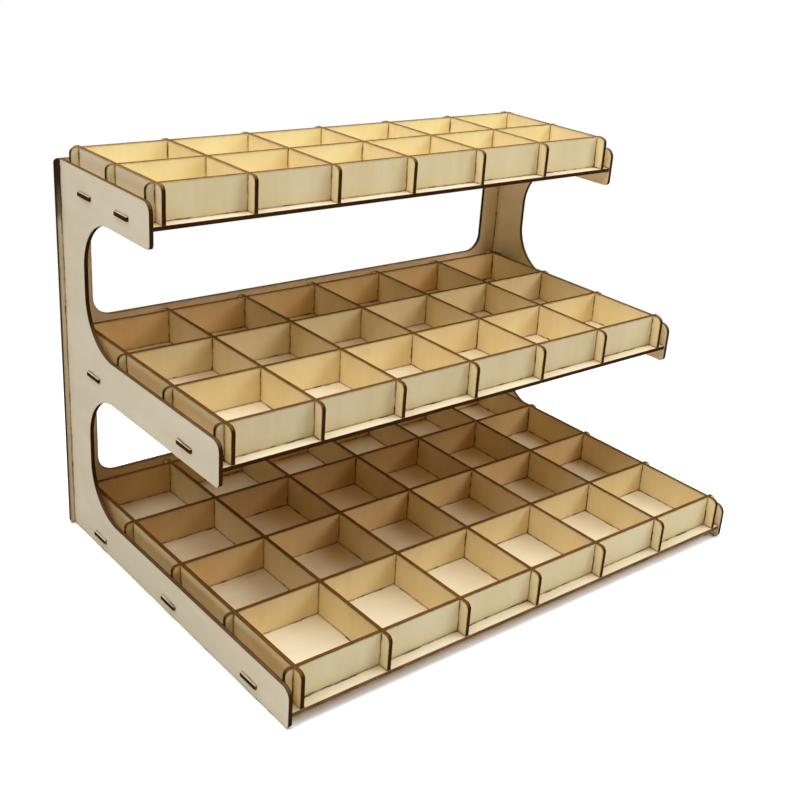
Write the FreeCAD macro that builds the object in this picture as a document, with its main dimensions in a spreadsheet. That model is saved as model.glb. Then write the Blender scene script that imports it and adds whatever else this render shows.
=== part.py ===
import FreeCAD, Part
import os
import Sketcher

# Three-tier workstation organizer cut from thin plywood and assembled without hardware.
# Two side panels and a back panel carry three trays, and each tray is a base plate with
# an egg-crate of half-lapped slats standing on it.
# Millimetres. X runs across the width, -Y is the front, Z is up, and the origin is the
# centre of the footprint at floor level.

DIMENSIONS = {
    # sheet material and fits
    "ply": 2.0,
    "fit": 0.1,
    "ear_gap": 0.2,
    # compartment grid
    "col_pitch": 46.0,
    "bottom_pitch": 46.9,
    "middle_pitch": 43.7,
    "top_pitch": 36.6,
    "slat_high": 17.2,
    "lap_deep": 8.6,
    # how far slats and plates run past the outer crossings
    "side_space": 5.4,
    "back_space": 6.6,
    "front_lip": 6.8,
    "front_ear": 6.6,
    "long_ear_round": 3.0,
    "cross_ear_round": 2.8,
    # heights
    "floor_gap": 5.3,
    "tier_rise": 88.4,
    # side panels
    "post_wide": 22.2,
    "arm_step": 0.6,
    "bottom_arm_up": 12.2,
    "middle_arm_up": 12.3,
    "top_arm_up": 10.7,
    "middle_arm_down": 7.1,
    "top_arm_down": 8.0,
    "cut_round": 26.5,
    "nose_round": 5.0,
    "heel_round": 2.5,
    # back panel
    "back_overhang": 2.4,
    "back_round": 2.0,
    "window_margin": 12.2,
    "window_sill": 1.0,
    "window_head": 7.0,
    "window_round": 10.0,
    # tenons, tabs and where they stand
    "tenon_long": 12.0,
    "tenon_out": 1.0,
    "tenon_shift": 0.9,
    "post_inset": 30.0,
    "tab_long": 12.0,
}

COLUMNS = 6
ROWS = {"bottom": 4, "middle": 3, "top": 2}
TIER = {"bottom": 0, "middle": 1, "top": 2}
PLATE_TENONS = {"bottom": 3, "middle": 2, "top": 2}
POST_TENONS = 3

doc = FreeCAD.newDocument("WorkstationOrganizer")
sheet = doc.addObject("Spreadsheet::Sheet", "Dims")
for row, (alias, size) in enumerate(DIMENSIONS.items(), start=1):
    sheet.set(f"A{row}", alias)
    sheet.set(f"B{row}", str(size))
    sheet.setAlias(f"B{row}", alias)
doc.recompute()


# ---------------------------------------------------------------- lengths worked out

def dim(alias):
    return f"Dims.{alias}"


HALF_GRID = f"{dim('col_pitch')} * {COLUMNS / 2}"
PANEL_INNER = f"({HALF_GRID} + {dim('side_space')})"
PANEL_OUTER = f"({PANEL_INNER} + {dim('ply')})"
BACK_FACE = dim("back_space")


def tray_deep(tray):
    """From the rear cross slat's centre to the front one's."""
    return f"{ROWS[tray]} * {dim(tray + '_pitch')}"


def plate_front(tray):
    return f"(-({tray_deep(tray)}) - {dim('front_lip')})"


def arm_front(tray):
    return f"({plate_front(tray)} - {dim('arm_step')})"


def plate_under(tray):
    return f"({dim('floor_gap')} + {TIER[tray]} * {dim('tier_rise')})"


def plate_top(tray):
    return f"({plate_under(tray)} + {dim('ply')})"


def slat_top(tray):
    return f"({plate_top(tray)} + {dim('slat_high')})"


def arm_top(tray):
    return f"({plate_top(tray)} + {dim(tray + '_arm_up')})"


def arm_low(tray):
    return f"({plate_under(tray)} - {dim(tray + '_arm_down')})"


# The rear cross slats of all trays share one plane, which lies this far behind the origin.
REAR_ROW = f"((-{arm_front('bottom')} - {BACK_FACE} - {dim('ply')} - {dim('tenon_out')}) / 2)"


# ---------------------------------------------------------------- modelling helpers

def value(expression):
    result = sheet.evalExpression(expression)
    return float(getattr(result, "Value", result))


def new_body(label, x="0", y="0", z="0"):
    body = doc.addObject("PartDesign::Body", label)
    body.Label = label
    for axis, place in zip("xyz", (x, y, z)):
        body.setExpression(f"Placement.Base.{axis}", place)
    return body


def origin_feature(body, role):
    return next(item for item in body.Origin.OriginFeatures if item.Role == role)


def box_loop(left, right, low, high):
    return [(left, low), (right, low), (right, high), (left, high)]


def centred_loop(x, y, length, height):
    return box_loop(f"{x} - ({length}) / 2", f"{x} + ({length}) / 2",
                    f"{y} - ({height}) / 2", f"{y} + ({height}) / 2")


def add_loop(sketch, corners, tag):
    """Closed outline of upright and level lines, each held at its own bound distance."""
    points = [FreeCAD.Vector(value(x), value(y), 0) for x, y in corners]
    first = sketch.GeometryCount
    count = len(corners)
    for index in range(count):
        line = Part.LineSegment(points[index], points[(index + 1) % count])
        sketch.addGeometry(line, False)
    for index in range(count):
        following = first + (index + 1) % count
        sketch.addConstraint(Sketcher.Constraint("Coincident", first + index, 2, following, 1))
    for index in range(count):
        line = first + index
        upright = corners[index][0] == corners[(index + 1) % count][0]
        turn, measure, part = ("Vertical", "DistanceX", 0) if upright else ("Horizontal", "DistanceY", 1)
        sketch.addConstraint(Sketcher.Constraint(turn, line))
        place = points[index][part]
        held = sketch.addConstraint(Sketcher.Constraint(measure, -1, 1, line, 1, place))
        name = f"{tag}_{index}"
        sketch.renameConstraint(held, name)
        sketch.setExpression(f"Constraints.{name}", corners[index][part])


def new_sketch(body, name, plane, loops):
    sketch = body.newObject("Sketcher::SketchObject", name)
    sketch.AttachmentSupport = [(origin_feature(body, plane), "")]
    sketch.MapMode = "FlatFace"
    for number, corners in enumerate(loops):
        add_loop(sketch, corners, f"loop{number}")
    return sketch


def pad(body, name, plane, loops, thick=dim("ply"), centred=True):
    feature = body.newObject("PartDesign::Pad", name)
    feature.Profile = new_sketch(body, name + "Sketch", plane, loops)
    feature.SideType = "Symmetric" if centred else "One side"
    feature.setExpression("Length", thick)
    return feature


def cut(body, name, plane, loops):
    feature = body.newObject("PartDesign::Pocket", name)
    feature.Profile = new_sketch(body, name + "Sketch", plane, loops)
    feature.SideType = "Symmetric"
    feature.Type = "ThroughAll"
    return feature


def repeat(body, name, feature, axis, reach, occurrences, backward=False):
    """Evenly spaced copies of a feature, the last one at the given reach."""
    pattern = body.newObject("PartDesign::LinearPattern", name)
    pattern.Originals = [feature]
    pattern.Direction = (origin_feature(body, axis), [""])
    pattern.Reversed = backward
    pattern.setExpression("Length", reach)
    pattern.Occurrences = occurrences
    body.Tip = pattern
    return pattern


def round_edges(body, name, feature, radius, wanted):
    """Round the edges that run through the sheet where wanted(x, y, z) holds."""
    doc.recompute()
    names = []
    for index, edge in enumerate(feature.Shape.Edges, start=1):
        middle = edge.CenterOfMass
        if abs(edge.Length - value(dim("ply"))) < 1e-6 and wanted(middle.x, middle.y, middle.z):
            names.append(f"Edge{index}")
    fillet = body.newObject("PartDesign::Fillet", name)
    fillet.Base = (feature, names)
    fillet.setExpression("Radius", radius)
    body.Tip = fillet
    return fillet


# ---------------------------------------------------------------- shared places

HEIGHT = arm_top("top")
POST_FRONT = f"({BACK_FACE} - {dim('post_wide')})"
# Cross slats plug into the plate in the middle of the outermost compartments.
TAB_AT = f"({HALF_GRID} - {dim('col_pitch')} / 2)"
# Plates plug into the back panel in the middle of the second compartments from each side.
REAR_TENON_AT = f"({HALF_GRID} - 1.5 * {dim('col_pitch')})"
SOCKET_WIDE = f"{dim('ply')} + 2 * {dim('fit')}"
SOCKET_LONG = f"{dim('tenon_long')} + 2 * {dim('fit')}"


def plate_tenons(tray):
    """Depth of each side tenon's centre, from the rear compartment's to the front one's."""
    count = PLATE_TENONS[tray]
    pitch = dim(tray + "_pitch")
    first = f"{pitch} / 2 + {dim('tenon_shift')}"
    return [f"-({first} + {(ROWS[tray] - 1) * index / (count - 1)} * {pitch})"
            for index in range(count)]


def post_tenons():
    """Height of each tenon that a side panel's rear post sends through the back panel."""
    inset = dim("post_inset")
    span = f"({HEIGHT} - 2 * {inset})"
    return [f"{inset} + {span} * {index / (POST_TENONS - 1)}" for index in range(POST_TENONS)]


def near(place, expression):
    return abs(place - value(expression)) < 1e-4


# ---------------------------------------------------------------- trays

def cross_slat(label, tray, row):
    """Runs across the tray with slots open at the top and two tabs that plug into the plate."""
    body = new_body(label, y=f"{REAR_ROW} - {row} * {dim(tray + '_pitch')}", z=plate_top(tray))
    end = f"({PANEL_INNER} - {dim('ear_gap')})"
    high = dim("slat_high")
    blank = pad(body, label + "_Blank", "XZ_Plane", [box_loop(f"-{end}", end, "0", high)])
    round_edges(body, label + "_EarRounding", blank, dim("cross_ear_round"),
                lambda x, y, z: near(z, high))
    tabs = [box_loop(f"{side}{TAB_AT} - {dim('tab_long')} / 2",
                     f"{side}{TAB_AT} + {dim('tab_long')} / 2",
                     f"-{dim('ply')}", dim("ply")) for side in ("-", "")]
    pad(body, label + "_Tabs", "XZ_Plane", tabs)
    slot = box_loop(f"-({HALF_GRID}) - ({SOCKET_WIDE}) / 2", f"-({HALF_GRID}) + ({SOCKET_WIDE}) / 2",
                    f"{high} - {dim('lap_deep')}", f"{high} + {dim('ply')}")
    lap = cut(body, label + "_Lap", "XZ_Plane", [slot])
    repeat(body, label + "_Laps", lap, "X_Axis", f"{COLUMNS} * {dim('col_pitch')}", COLUMNS + 1)
    return body


def long_slat(label, tray, column):
    """Runs front to back with slots open at the bottom, pressed down over the cross slats."""
    place = f"{column - COLUMNS / 2} * {dim('col_pitch')}"
    body = new_body(label, x=place, y=REAR_ROW, z=plate_top(tray))
    front = f"(-({tray_deep(tray)}) - {dim('front_ear')})"
    rear = f"({BACK_FACE} - {dim('ear_gap')})"
    high = dim("slat_high")
    blank = pad(body, label + "_Blank", "YZ_Plane", [box_loop(front, rear, "0", high)])
    round_edges(body, label + "_EarRounding", blank, dim("long_ear_round"),
                lambda x, y, z: near(z, high))
    slot = box_loop(f"-({SOCKET_WIDE}) / 2", f"({SOCKET_WIDE}) / 2",
                    f"-{dim('ply')}", f"{high} - {dim('lap_deep')} + {dim('fit')}")
    lap = cut(body, label + "_Lap", "YZ_Plane", [slot])
    repeat(body, label + "_Laps", lap, "Y_Axis", tray_deep(tray), ROWS[tray] + 1, backward=True)
    return body


def base_plate(label, tray):
    """Tray floor, with tenons into both side panels and the back panel, and slat sockets."""
    body = new_body(label, y=REAR_ROW, z=plate_under(tray))
    floor = box_loop(f"-{PANEL_INNER}", PANEL_INNER, plate_front(tray), BACK_FACE)
    pad(body, label + "_Blank", "XY_Plane", [floor], centred=False)
    reach = f"({PANEL_OUTER} + {dim('tenon_out')})"
    strips = [centred_loop("0", place, f"2 * {reach}", dim("tenon_long"))
              for place in plate_tenons(tray)]
    pad(body, label + "_SideTenons", "XY_Plane", strips, centred=False)
    rear = [box_loop(f"{side}{REAR_TENON_AT} - {dim('tenon_long')} / 2",
                     f"{side}{REAR_TENON_AT} + {dim('tenon_long')} / 2",
                     f"{BACK_FACE} - {dim('ply')}",
                     f"{BACK_FACE} + {dim('ply')} + {dim('tenon_out')}") for side in ("-", "")]
    pad(body, label + "_RearTenons", "XY_Plane", rear, centred=False)
    sockets = [centred_loop(f"{side}{TAB_AT}", "0", f"{dim('tab_long')} + 2 * {dim('fit')}",
                            SOCKET_WIDE) for side in ("-", "")]
    socket = cut(body, label + "_Socket", "XY_Plane", sockets)
    repeat(body, label + "_Sockets", socket, "Y_Axis", tray_deep(tray), ROWS[tray] + 1,
           backward=True)
    return body


# ---------------------------------------------------------------- panels

def side_panel(label, side):
    """Rear post with three arms, cut from one sheet, that carries the trays' side tenons."""
    body = new_body(label, x=f"{side} * ({PANEL_INNER} + {dim('ply')} / 2)", y=REAR_ROW)
    trays = ("bottom", "middle", "top")
    outline = [(BACK_FACE, "0"), (arm_front("bottom"), "0")]
    for tray in trays:
        if tray != "bottom":
            outline += [(POST_FRONT, arm_low(tray)), (arm_front(tray), arm_low(tray))]
        outline += [(arm_front(tray), arm_top(tray))]
        outline += [(POST_FRONT if tray != "top" else BACK_FACE, arm_top(tray))]
    blank = pad(body, label + "_Blank", "YZ_Plane", [outline])
    inner = round_edges(body, label + "_CutRounding", blank, dim("cut_round"),
                        lambda x, y, z: near(y, POST_FRONT))
    noses = round_edges(body, label + "_NoseRounding", inner, dim("nose_round"),
                        lambda x, y, z: any(near(y, arm_front(tray)) and near(z, arm_top(tray))
                                            for tray in trays))
    round_edges(body, label + "_HeelRounding", noses, dim("heel_round"),
                lambda x, y, z: any(near(y, arm_front(tray)) and near(z, low)
                                    for tray, low in (("bottom", "0"),
                                                      ("middle", arm_low("middle")),
                                                      ("top", arm_low("top")))))
    tenons = [box_loop(f"{BACK_FACE} - {dim('ply')}",
                       f"{BACK_FACE} + {dim('ply')} + {dim('tenon_out')}",
                       f"{place} - {dim('tenon_long')} / 2",
                       f"{place} + {dim('tenon_long')} / 2") for place in post_tenons()]
    pad(body, label + "_RearTenons", "YZ_Plane", tenons)
    mortises = [box_loop(f"{place} - ({SOCKET_LONG}) / 2", f"{place} + ({SOCKET_LONG}) / 2",
                         plate_under(tray), f"{plate_top(tray)} + {dim('fit')}")
                for tray in trays for place in plate_tenons(tray)]
    body.Tip = cut(body, label + "_Mortises", "YZ_Plane", mortises)
    return body


def back_panel(label):
    """Full-height sheet with a window behind each of the two spaces between trays."""
    body = new_body(label, y=f"{REAR_ROW} + {BACK_FACE} + {dim('ply')} / 2")
    edge = f"({PANEL_OUTER} + {dim('back_overhang')})"
    blank = pad(body, label + "_Blank", "XZ_Plane", [box_loop(f"-{edge}", edge, "0", HEIGHT)])
    round_edges(body, label + "_CornerRounding", blank, dim("back_round"),
                lambda x, y, z: near(abs(x), edge))
    jamb = f"({PANEL_INNER} - {dim('window_margin')})"
    windows = [box_loop(f"-{jamb}", jamb, f"{slat_top(below)} + {dim('window_sill')}",
                        f"{plate_under(above)} - {dim('window_head')}")
               for below, above in (("bottom", "middle"), ("middle", "top"))]
    opened = cut(body, label + "_Windows", "XZ_Plane", windows)
    round_edges(body, label + "_WindowRounding", opened, dim("window_round"),
                lambda x, y, z: near(abs(x), jamb))
    mortises = [centred_loop(f"{side}({PANEL_INNER} + {dim('ply')} / 2)", place,
                             SOCKET_WIDE, SOCKET_LONG)
                for side in ("-", "") for place in post_tenons()]
    mortises += [box_loop(f"{side}{REAR_TENON_AT} - ({SOCKET_LONG}) / 2",
                          f"{side}{REAR_TENON_AT} + ({SOCKET_LONG}) / 2",
                          plate_under(tray), f"{plate_top(tray)} + {dim('fit')}")
                 for side in ("-", "") for tray in ROWS]
    body.Tip = cut(body, label + "_Mortises", "XZ_Plane", mortises)
    return body


# ---------------------------------------------------------------- assembly

pieces = [
    side_panel("side_panel_left", -1),
    side_panel("side_panel_right", 1),
    back_panel("back_panel"),
]
for tray in ROWS:
    pieces.append(base_plate(f"{tray}_base_plate", tray))
    for row in range(ROWS[tray] + 1):
        pieces.append(cross_slat(f"{tray}_cross_slat_{row + 1}", tray, row))
    for column in range(COLUMNS + 1):
        pieces.append(long_slat(f"{tray}_long_slat_{column + 1}", tray, column))
doc.recompute()


# ---------------------------------------------------------------- checks and export

def check_document():
    for item in doc.Objects:
        if "Invalid" in item.State or "Error" in item.State:
            raise RuntimeError(f"{item.Label} failed: {item.State}")
        if item.TypeId == "PartDesign::Pocket":
            removed = item.BaseFeature.Shape.Volume - item.Shape.Volume
            if removed < 1e-3:
                raise RuntimeError(f"{item.Label} cuts nothing")
    for body in pieces:
        shape = body.Shape
        if shape.isNull() or not shape.isValid() or len(shape.Solids) != 1:
            raise RuntimeError(f"{body.Label} is not one valid solid")


check_document()
os.makedirs("parts", exist_ok=True)
for body in pieces:
    body.Shape.exportStep(f"parts/{body.Label}.step")
whole = Part.makeCompound([body.Shape for body in pieces]).BoundBox
print(f"{len(pieces)} pieces, {whole.XLength:.1f} x {whole.YLength:.1f} x {whole.ZLength:.1f} mm")
print(f"x {whole.XMin:.2f} to {whole.XMax:.2f}, y {whole.YMin:.2f} to {whole.YMax:.2f}")
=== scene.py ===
import math

import bpy
from mathutils import Matrix, Vector


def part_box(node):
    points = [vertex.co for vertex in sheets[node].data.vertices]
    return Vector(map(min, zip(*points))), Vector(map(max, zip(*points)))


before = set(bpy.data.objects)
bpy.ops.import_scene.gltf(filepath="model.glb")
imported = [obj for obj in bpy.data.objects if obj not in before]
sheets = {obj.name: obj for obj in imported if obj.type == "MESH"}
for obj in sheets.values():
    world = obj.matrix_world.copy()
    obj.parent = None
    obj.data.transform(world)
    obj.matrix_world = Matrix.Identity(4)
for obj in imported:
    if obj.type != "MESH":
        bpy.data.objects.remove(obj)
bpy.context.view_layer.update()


# ------------------------------------------------------------------ side panels
# The two outermost sheets: a rear post with three arms, cut from thin birch plywood.
# Their rounded cut-outs and their outlines are laser-cut, which leaves brown edges, and
# the tenons of the tray floors pass through their slots.

MM = 0.001
SHEET = 2 * MM
WIDTH, DEPTH, HEIGHT = 0, 1, 2


class Wire:
    """A number inside a material. Arithmetic on it adds the Math nodes that work it out."""

    def __init__(self, finish, socket):
        self.finish = finish
        self.socket = socket

    def work_out(self, operation, *values):
        return self.finish.add("ShaderNodeMath", {"operation": operation}, dict(enumerate(values)))

    def __add__(self, other):
        return self.work_out("ADD", self, other)

    def __sub__(self, other):
        return self.work_out("SUBTRACT", self, other)

    def __rsub__(self, other):
        return self.work_out("SUBTRACT", other, self)

    def __mul__(self, other):
        return self.work_out("MULTIPLY", self, other)

    def __abs__(self):
        return self.work_out("ABSOLUTE", self)

    def __gt__(self, other):
        return self.work_out("GREATER_THAN", self, other)

    __radd__ = __add__
    __rmul__ = __mul__

    def held(self):
        """The number kept between nought and one."""
        return self.finish.add("ShaderNodeClamp", {}, {"Value": self})

    def to(self, low, high):
        """Nought below the low value, one above the high one and smooth between them."""
        return self.finish.add("ShaderNodeMapRange", {"interpolation_type": "SMOOTHSTEP"},
                               {"Value": self, "From Min": low, "From Max": high})


class Finish:
    """The node tree of a material or of the surround, whose nodes all come from add()."""

    def __init__(self, dressed):
        dressed.use_nodes = True
        self.tree = dressed.node_tree
        self.tree.nodes.clear()

    def add(self, kind, settings, sockets, output=0):
        """Makes a node, sets it, fills its sockets with numbers, colours or wires."""
        node = self.tree.nodes.new(kind)
        for name, choice in settings.items():
            setattr(node, name, choice)
        for key, given in sockets.items():
            by_identifier = {socket.identifier: socket for socket in node.inputs}
            socket = by_identifier.get(key) or node.inputs[key]
            if isinstance(given, Wire):
                self.tree.links.new(given.socket, socket)
            else:
                socket.default_value = given
        return Wire(self, node.outputs[output]) if node.outputs else None

    def parts(self, vector):
        """A vector's shares along the width, the depth and the height."""
        first = self.add("ShaderNodeSeparateXYZ", {}, {"Vector": vector})
        return [Wire(self, socket) for socket in first.socket.node.outputs]

    def stretched(self, place, scale, axis, along):
        """The place on the sheet scaled evenly, but for one axis with a scale of its own."""
        scales = [scale, scale, scale]
        scales[axis] = along
        return self.add("ShaderNodeMapping", {}, {"Vector": place, "Scale": scales})

    def mix(self, factor, first, second):
        return self.add("ShaderNodeMix", {"data_type": "RGBA", "clamp_factor": True},
                        {"Factor_Float": factor, "A_Color": first, "B_Color": second},
                        "Result")

    def noise(self, vector, scale, detail, seed, roughness=0.5):
        return self.add("ShaderNodeTexNoise", {"noise_dimensions": "4D"},
                        {"Vector": vector, "W": seed, "Scale": scale, "Detail": detail,
                         "Roughness": roughness})


GRAIN_LINE = (0.60, 0.42, 0.20, 1)
# The colour of the corners where sheets meet: partly smoke stain, partly painted shade.
SMOKE_AND_SHADE_BROWN = (0.20, 0.095, 0.025, 1)
TOASTED = (0.190, 0.076, 0.014, 1)
BURNT = (0.062, 0.020, 0.002, 1)
CHARRED = (0.018, 0.005, 0.001, 1)

# How far the laser's heat reaches over a face and how far the corners' smoke stain and
# painted shade reach, the height of its marks, and the rays that feel for rims and corners.
RIM_REACH = 1.4 * MM
SMOKE_AND_SHADE_REACH = 0.9 * MM
RELIEF = 0.05 * MM
RAYS = 4

# Noise scales: how often a pattern comes round in a metre. Clouds and grain are drawn out
# along the sheet's grain by the factors after them.
CLOUDS, STREAKS, PORES, BLOTCHES, SPOTS, BURNS = 55, 520, 1500, 260, 130, 90
DRAWN_CLOUDS, DRAWN_GRAIN = 0.3, 0.045
BEAM_MARKS, BEAM_THROUGH = 900, 30

# A face counts as looking along an axis where its normal's share of it is above this.
SQUARE_ON = 0.7


def plywood(name, across, along, seed, tone, scorch=1.0, toast=TOASTED,
            nose=(BURNT, CHARRED), underside=None, darkening=None):
    """Bare plywood for one sheet, with its thickness along the axis across and its grain
    along the axis along. tone and underside are each two colours that a face drifts
    between, scorch is how dark its rims are, toast the colour of its upper edges and nose
    the two colours of its front ones. darkening works out how far each place is darkened
    towards black."""
    low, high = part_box(name)
    centre = [(a + b) / 2 for a, b in zip(low, high)]
    pale, warm = tone
    veneer_sheet = bpy.data.materials.new(name + "_plywood")
    finish = Finish(veneer_sheet)
    place = finish.add("ShaderNodeTexCoord", {}, {}, "Object")
    facing = finish.add("ShaderNodeTexCoord", {}, {}, "Normal")
    centred = finish.add("ShaderNodeMapping", {},
                         {"Vector": place, "Location": [-c for c in centre]})
    depth = abs(finish.parts(centred)[across])
    turned = finish.parts(facing)
    veneer = abs(turned[across]) > SQUARE_ON
    forward = 0 - turned[DEPTH] > SQUARE_ON
    upward = turned[HEIGHT].to(0.3, 0.9)

    # Broad faces: soft clouds of tone, long fine grain and short darker pores.
    fibres = finish.stretched(place, 1, along, DRAWN_GRAIN)
    drift = finish.stretched(place, 1, along, DRAWN_CLOUDS)
    clouds = finish.noise(drift, CLOUDS, 3, seed, 0.6).to(0.30, 0.70)
    streaks = finish.noise(fibres, STREAKS, 3, seed + 3).to(0.30, 0.75)
    pores = finish.noise(fibres, PORES, 2, seed + 7).to(0.66, 0.80)
    figure = clouds * 0.85 + streaks * 0.15
    wood = finish.mix(figure, pale, warm)
    if underside:
        under = finish.mix(figure, *underside)
        wood = finish.mix(0 - turned[HEIGHT] > SQUARE_ON, wood, under)
    wood = finish.mix(pores * 0.10, wood, GRAIN_LINE)

    # Where the beam passed, the face is scorched for a fraction of a millimetre.
    softened = finish.add("ShaderNodeBevel", {"samples": RAYS}, {"Radius": RIM_REACH})
    plain = finish.add("ShaderNodeNewGeometry", {}, {}, "Normal")
    turn = finish.add("ShaderNodeVectorMath", {"operation": "DOT_PRODUCT"},
                      {0: softened, 1: plain}, "Value")
    uneven = finish.noise(place, BLOTCHES, 2, seed + 9).to(0.25, 0.65)
    rim = (1 - turn).to(0.0, 0.10) * (0.5 + 0.5 * uneven) * scorch
    rim_tone = [0.4 * brown + 0.6 * black for brown, black in zip(toast, BURNT)]
    wood = finish.mix(rim * 0.7, wood, rim_tone)

    # Corners where the sheets meet are darkened the more enclosed they are: partly the joints'
    # smoke stain, partly painted shade in the crease. Spots in the tightest corners are
    # painted near black, partly painted shade too.
    open_air = finish.add("ShaderNodeAmbientOcclusion", {"samples": RAYS},
                          {"Distance": SMOKE_AND_SHADE_REACH}, "AO")
    corner = (1 - open_air).to(0.15, 0.40) * (0.25 + 0.75 * uneven)
    wood = finish.mix(corner * 0.9, wood, SMOKE_AND_SHADE_BROWN)
    spots = finish.noise(place, SPOTS, 1, seed + 15).to(0.55, 0.64)
    wood = finish.mix((1 - open_air).to(0.03, 0.16) * spots * 0.9, wood, BURNT)

    # Cut edges: charred, browner in places, with three plies and fine marks of the beam.
    marks = finish.stretched(place, BEAM_MARKS, across, BEAM_THROUGH)
    burn = finish.noise(place, BURNS, 2, seed + 11).to(0.35, 0.70)
    beam = finish.noise(marks, 3, 1, seed + 13)
    core = 1 - depth.to(SHEET * 0.14, SHEET * 0.20)
    scar = burn * 0.45 + beam * 0.35 + core * 0.20
    side = finish.mix(forward, finish.mix(scar, BURNT, CHARRED), finish.mix(scar, *nose))
    skin = depth.to(SHEET * 0.20, SHEET * 0.48)
    cut = finish.mix(upward, side, finish.mix(scar * 0.55 + skin * 0.7, toast, BURNT))

    colour = finish.mix(veneer, cut, wood)
    if darkening:
        colour = finish.mix(darkening(finish, place), colour, CHARRED)
    rough = 0.78 - veneer * 0.16 + streaks * 0.06
    relief = finish.add("ShaderNodeBump", {},
                        {"Height": streaks * veneer * 0.4 + beam * 0.6 * (1 - veneer),
                         "Strength": 0.25, "Distance": RELIEF})
    shader = finish.add("ShaderNodeBsdfPrincipled", {},
                        {"Base Color": colour, "Roughness": rough, "Normal": relief,
                         "Specular IOR Level": 0.06})
    finish.add("ShaderNodeOutputMaterial", {}, {"Surface": shader})
    for slot in sheets[name].material_slots:
        slot.material = veneer_sheet


PANEL_BIRCH = (0.94, 0.80, 0.59, 1), (0.87, 0.72, 0.50, 1)
AMBER_BIRCH = (0.94, 0.79, 0.51, 1), (0.88, 0.71, 0.42, 1)
UMBER = (0.170, 0.100, 0.045, 1)
PANEL_SCORCH = 0.3

plywood("side_panel_left", WIDTH, DEPTH, 1, PANEL_BIRCH, PANEL_SCORCH, UMBER)
plywood("side_panel_right", WIDTH, DEPTH, 2, AMBER_BIRCH, PANEL_SCORCH, UMBER)


# ------------------------------------------------------------------ tray floors
# Three floor sheets of the same plywood, one for each tray, seen between the slats and as
# a lip in front of them. Their tenons reach through the side panels and the back panel,
# and their sockets take the tabs of the cross slats.

FLOOR_BIRCH = (0.90, 0.78, 0.55, 1), (0.84, 0.70, 0.47, 1)
TOP_FLOOR_BIRCH = (0.84, 0.72, 0.52, 1), (0.79, 0.66, 0.45, 1)
# The floors' undersides are painted browner than their tops as painted shade: the dimmer, warmer
# light they throw down deepens the shade in the tray below. The top floor's underside is painted
# less brown, for less shade in the middle tray.
SHADE_BROWNED_UNDERSIDE = (0.74, 0.48, 0.22, 1), (0.67, 0.41, 0.17, 1)
SHADE_TANNED_UNDERSIDE = (0.86, 0.65, 0.37, 1), (0.80, 0.58, 0.30, 1)
SINGED = (0.28, 0.14, 0.06, 1), (0.11, 0.045, 0.018, 1)
FLOOR_SCORCH = 0.15

plywood("bottom_base_plate", HEIGHT, WIDTH, 20, FLOOR_BIRCH, FLOOR_SCORCH, nose=SINGED,
        underside=SHADE_BROWNED_UNDERSIDE)
plywood("middle_base_plate", HEIGHT, WIDTH, 21, FLOOR_BIRCH, FLOOR_SCORCH, underside=SHADE_BROWNED_UNDERSIDE)
plywood("top_base_plate", HEIGHT, WIDTH, 22, TOP_FLOOR_BIRCH, FLOOR_SCORCH, underside=SHADE_TANNED_UNDERSIDE)


# ------------------------------------------------------------------ cross slats
# Plywood slats across each tray, slotted from above for the front-to-back slats. Two tabs
# on the lower edge of each plug into the tray floor. The top tray's edges are paler.

HONEY = (0.270, 0.128, 0.028, 1)
FRONT_BIRCH = (0.84, 0.70, 0.44, 1), (0.78, 0.63, 0.35, 1)
LIT_LOW_FRONT_BIRCH = (0.92, 0.77, 0.49, 1), (0.86, 0.70, 0.40, 1)
LIT_YELLOW_BIRCH = (0.95, 0.83, 0.47, 1), (0.91, 0.76, 0.38, 1)
TAN_BIRCH = (0.93, 0.76, 0.44, 1), (0.87, 0.68, 0.35, 1)
SHADE_BROWN_BIRCH = (0.92, 0.64, 0.31, 1), (0.86, 0.56, 0.25, 1)
DEEP_SHADE_BIRCH = (0.83, 0.57, 0.26, 1), (0.77, 0.50, 0.21, 1)

# Tones by slat: the rear and inner slats of the two lower trays, in the shade of the tray above,
# take darker, browner copies of the slat tone as painted shade. The top tray's inner slats and the
# bottom front slat take paler copies as painted light.
slat_tones = {"top_cross_slat_1": LIT_YELLOW_BIRCH, "top_cross_slat_2": LIT_YELLOW_BIRCH,
              "top_cross_slat_3": FRONT_BIRCH, "middle_cross_slat_1": SHADE_BROWN_BIRCH,
              "middle_cross_slat_4": FRONT_BIRCH, "bottom_cross_slat_1": DEEP_SHADE_BIRCH,
              "bottom_cross_slat_2": DEEP_SHADE_BIRCH, "bottom_cross_slat_3": SHADE_BROWN_BIRCH,
              "bottom_cross_slat_5": LIT_LOW_FRONT_BIRCH}
cross_slats = [name for name in sorted(sheets) if "_cross_slat_" in name]
for seed, name in enumerate(cross_slats, start=40):
    toast = HONEY if name.startswith("top_") else TOASTED
    plywood(name, DEPTH, HEIGHT, seed, slat_tones.get(name, TAN_BIRCH), toast=toast)


# ------------------------------------------------------------------ front-to-back slats
# Seven slats in each tray, slotted from below and pressed over the cross slats, which
# divides the tray into square compartments. Their round-cornered ends stand in front.

WARM_BIRCH = (0.92, 0.75, 0.44, 1), (0.86, 0.67, 0.35, 1)
ROSY_BIRCH = (0.95, 0.79, 0.55, 1), (0.90, 0.72, 0.46, 1)
OCHRE_BIRCH = (0.88, 0.66, 0.34, 1), (0.82, 0.58, 0.27, 1)

outer_tones = {"top_long_slat_1": ROSY_BIRCH, "middle_long_slat_1": OCHRE_BIRCH,
               "bottom_long_slat_1": OCHRE_BIRCH}
long_slats = [name for name in sorted(sheets) if "_long_slat_" in name]
for seed, name in enumerate(long_slats, start=60):
    toast = HONEY if name.startswith("top_") else TOASTED
    plywood(name, WIDTH, HEIGHT, seed, outer_tones.get(name, WARM_BIRCH), toast=toast)


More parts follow.
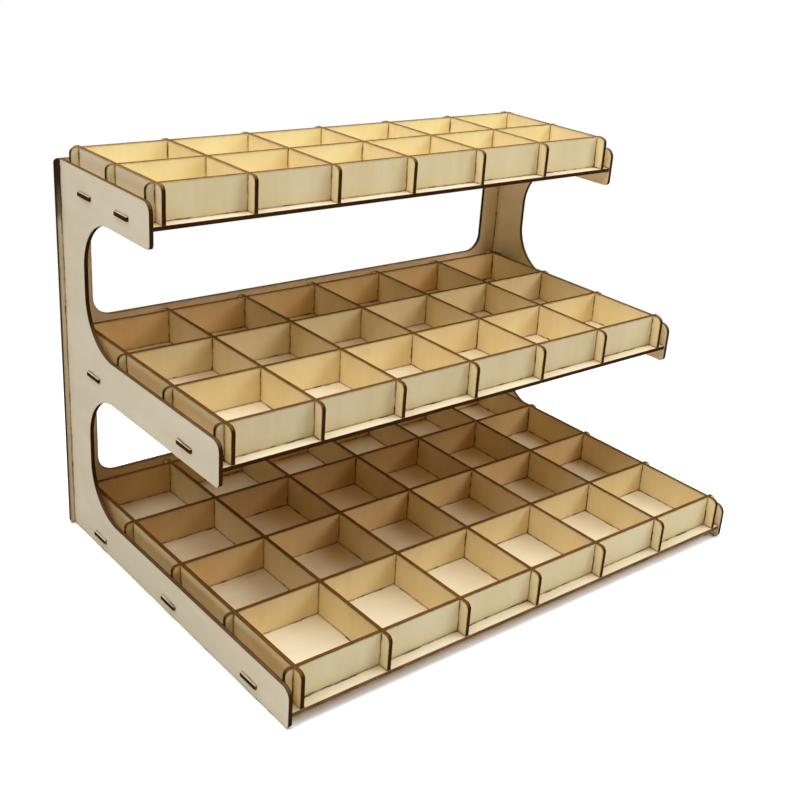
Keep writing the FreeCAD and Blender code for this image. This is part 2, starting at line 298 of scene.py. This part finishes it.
# ------------------------------------------------------------------ back panel
# One full-height sheet behind the trays, with a window behind each space between them.
# It overhangs the side panels, and the overhang past the left panel is darkened, most at the top.

def darkened_overhang(finish, place):
    """Darkening towards black on the rim that stands out past the left side panel, most near the
    top.
    """
    across, _, up = finish.parts(place)
    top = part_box("back_panel")[1][2]
    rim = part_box("side_panel_left")[0][0]
    past = (rim - across).to(-0.2 * MM, 0.2 * MM)
    high = up.to(top - 31 * MM, top - 25 * MM) * 0.55 + up.to(top - 26 * MM, top - 8 * MM) * 0.20
    return past * (high + 0.22)


BACK_BIRCH = (0.93, 0.77, 0.50, 1), (0.87, 0.69, 0.41, 1)

plywood("back_panel", DEPTH, WIDTH, 5, BACK_BIRCH, darkening=darkened_overhang)


# ------------------------------------------------------------------ studio
# A pale floor and a white surround, lit by a soft glow from above and three softboxes.
# The floor shows white away from the rack and keeps its shadow near it.

def looked_at(finish):
    """One for what the camera sees, directly or in a reflection, and nought for the rest."""
    camera = finish.add("ShaderNodeLightPath", {}, {}, "Is Camera Ray")
    glossy = finish.add("ShaderNodeLightPath", {}, {}, "Is Glossy Ray")
    clear = finish.add("ShaderNodeLightPath", {}, {}, "Is Transmission Ray")
    return (camera + glossy + clear).held()


FLOOR_SIZE = 12
SHADOW_KEPT, ALL_WHITE = 0.22, 0.40
PAPER = (0.9, 0.9, 0.9, 1)
SHOWN_PAPER = (1.50, 1.54, 1.55, 1)
WHITE = (1, 1, 1, 1)

bpy.ops.mesh.primitive_plane_add(size=FLOOR_SIZE)
ground = bpy.context.object
ground.name = "studio_floor"
floor_paper = bpy.data.materials.new("floor_paper")
paper = Finish(floor_paper)
matte = paper.add("ShaderNodeBsdfDiffuse", {}, {"Color": PAPER})
bright = paper.add("ShaderNodeBsdfDiffuse", {}, {"Color": SHOWN_PAPER})
white = paper.add("ShaderNodeEmission", {}, {"Color": WHITE})
spot = paper.add("ShaderNodeTexCoord", {}, {}, "Object")
away = paper.add("ShaderNodeVectorMath", {"operation": "LENGTH"}, {0: spot}, "Value")
shown = paper.add("ShaderNodeMixShader", {},
                  {0: away.to(SHADOW_KEPT, ALL_WHITE), 1: bright, 2: white})
blend = paper.add("ShaderNodeMixShader", {}, {0: looked_at(paper), 1: matte, 2: shown})
paper.add("ShaderNodeOutputMaterial", {}, {"Surface": blend})
ground.data.materials.append(floor_paper)

GLOW = 0.07
studio_surround = bpy.data.worlds.new("studio_surround")
bpy.context.scene.world = studio_surround
surround = Finish(studio_surround)
glow = surround.add("ShaderNodeBackground", {},
                    {"Color": WHITE, "Strength": looked_at(surround) * (1 - GLOW) + GLOW})
surround.add("ShaderNodeOutputWorld", {}, {"Surface": glow})


LAMP_TINT = (0.92, 0.96, 1.0)
RACK_MIDDLE = Vector((0, 0, 0.1))


def lamp(name, kind, place, energy, spread):
    """A soft lamp that shines on the rack: spread is a sun's angle or a softbox's side."""
    light = bpy.data.lights.new(name, kind)
    light.energy = energy
    light.color = LAMP_TINT
    if kind == "SUN":
        light.angle = math.radians(spread)
    else:
        light.size = spread
    stand = bpy.data.objects.new(name, light)
    bpy.context.scene.collection.objects.link(stand)
    stand.location = place
    stand.rotation_euler = (Vector(place) - RACK_MIDDLE).to_track_quat("Z", "Y").to_euler()
    stand.visible_camera = False


lamp("ceiling_glow", "SUN", (0.20, 0.65, 2.20), 1.25, 65)
lamp("overhead_softbox", "AREA", (0, 0, 0.50), 0.95, 0.4)
lamp("left_softbox", "AREA", (-0.45, 0, 0.70), 2.25, 0.5)
lamp("front_softbox", "AREA", (0.55, -0.50, 0.60), 3.4, 0.5)


# ------------------------------------------------------------------ camera
# Above the rack's front left corner, about two rack lengths away and looking down on it.
# The lens is given in pixels of a square frame.

EYE = Vector((-372.9, -422.9, 325.6)) * MM
TURN = math.radians(-41.06)
DIP = math.radians(22.84)
TILT = math.radians(4.48)
FOCAL_PIXELS = 1178.8
CENTRE_X, CENTRE_Y = 410, 380
FRAME_PIXELS = 800
SENSOR = 36

eye = bpy.data.cameras.new("camera")
eye.sensor_width = SENSOR
eye.lens = FOCAL_PIXELS / FRAME_PIXELS * SENSOR
eye.shift_x = (FRAME_PIXELS / 2 - CENTRE_X) / FRAME_PIXELS
eye.shift_y = (CENTRE_Y - FRAME_PIXELS / 2) / FRAME_PIXELS
camera = bpy.data.objects.new("camera", eye)
bpy.context.scene.collection.objects.link(camera)
camera.matrix_world = (Matrix.Translation(EYE) @ Matrix.Rotation(TURN, 4, "Z")
                       @ Matrix.Rotation(math.pi / 2 - DIP, 4, "X")
                       @ Matrix.Rotation(TILT, 4, "Z"))
bpy.context.scene.camera = camera
bpy.context.scene.view_settings.view_transform = "Standard"
